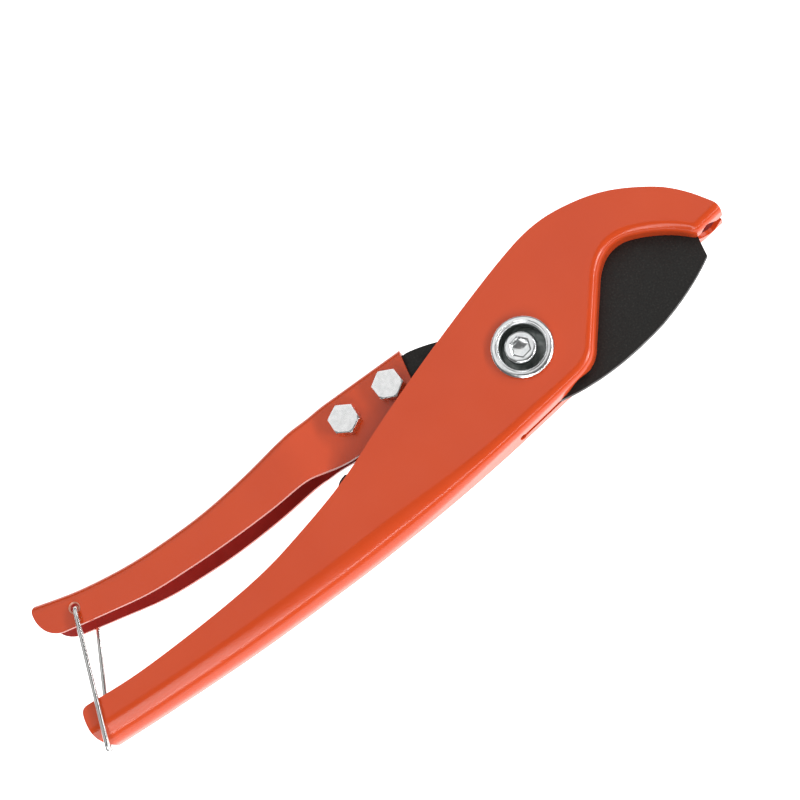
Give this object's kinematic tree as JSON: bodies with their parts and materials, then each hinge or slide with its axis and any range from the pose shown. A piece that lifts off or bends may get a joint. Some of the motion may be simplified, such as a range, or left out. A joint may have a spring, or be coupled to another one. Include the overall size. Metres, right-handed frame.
{
  "type": "plastic pipe cutter",
  "caption": "Hand shear for plastic pipe: folded steel body with hooked head, pivoting blade on a steel moving handle, wire bail holding the handles shut.",
  "frame": {"origin": "centre line of the blade pivot, at the flat end face of the pivot screw below the rear nut", "axes": "+X along the tool from the handle ends to the hook, +Y from the body towards the moving handle, +Z along the pivot from the nut to the screw head"},
  "size_m": [0.2475, 0.0532, 0.026],
  "materials": {
    "orange_paint": "glossy orange enamel on folded steel",
    "black_oxide": "blackened tool steel, satin",
    "bright_plate": "bright zinc plated steel",
    "spring_steel": "drawn steel wire",
    "bronze": "plain bronze thrust washer",
    "black_rubber": "matt black rubber",
    "nylon": "natural nylon"
  },
  "bodies": {
    "body": {"body_shell": "orange_paint", "bump_stop": "black_rubber", "pivot_bush": "bright_plate", "pivot_screw": "bright_plate", "pivot_washer": "bright_plate", "pivot_nut": "bright_plate", "pivot_nut_insert": "nylon", "return_spring": "spring_steel", "front_thrust_washer": "bronze", "rear_thrust_washer": "bronze", "rear_spacer": "bright_plate"},
    "blade_and_handle": {"moving_handle": "orange_paint", "blade": "black_oxide", "front_neck_bolt": "bright_plate", "front_neck_lock_washer": "bright_plate", "front_neck_nut": "bright_plate", "rear_neck_bolt": "bright_plate", "rear_neck_lock_washer": "bright_plate", "rear_neck_nut": "bright_plate"},
    "bail": {"bail_latch": "spring_steel"}
  },
  "joints": [
    {"name": "handle_hinge", "type": "hinge", "parent": "body", "child": "blade_and_handle", "pos_m": [0, 0, 0.016], "axis": [0, 0, -1], "range_deg": [0, 60]},
    {"name": "bail_swing", "type": "hinge", "parent": "blade_and_handle", "child": "bail", "pos_m": [-0.1551, 0.0205, 0.016], "axis": [0, 0, -1], "range_deg": [0, 150]}
  ],
  "couplings": [
    {"joint": "bail_swing", "follows": "handle_hinge", "ratio": 2.5}
  ]
}
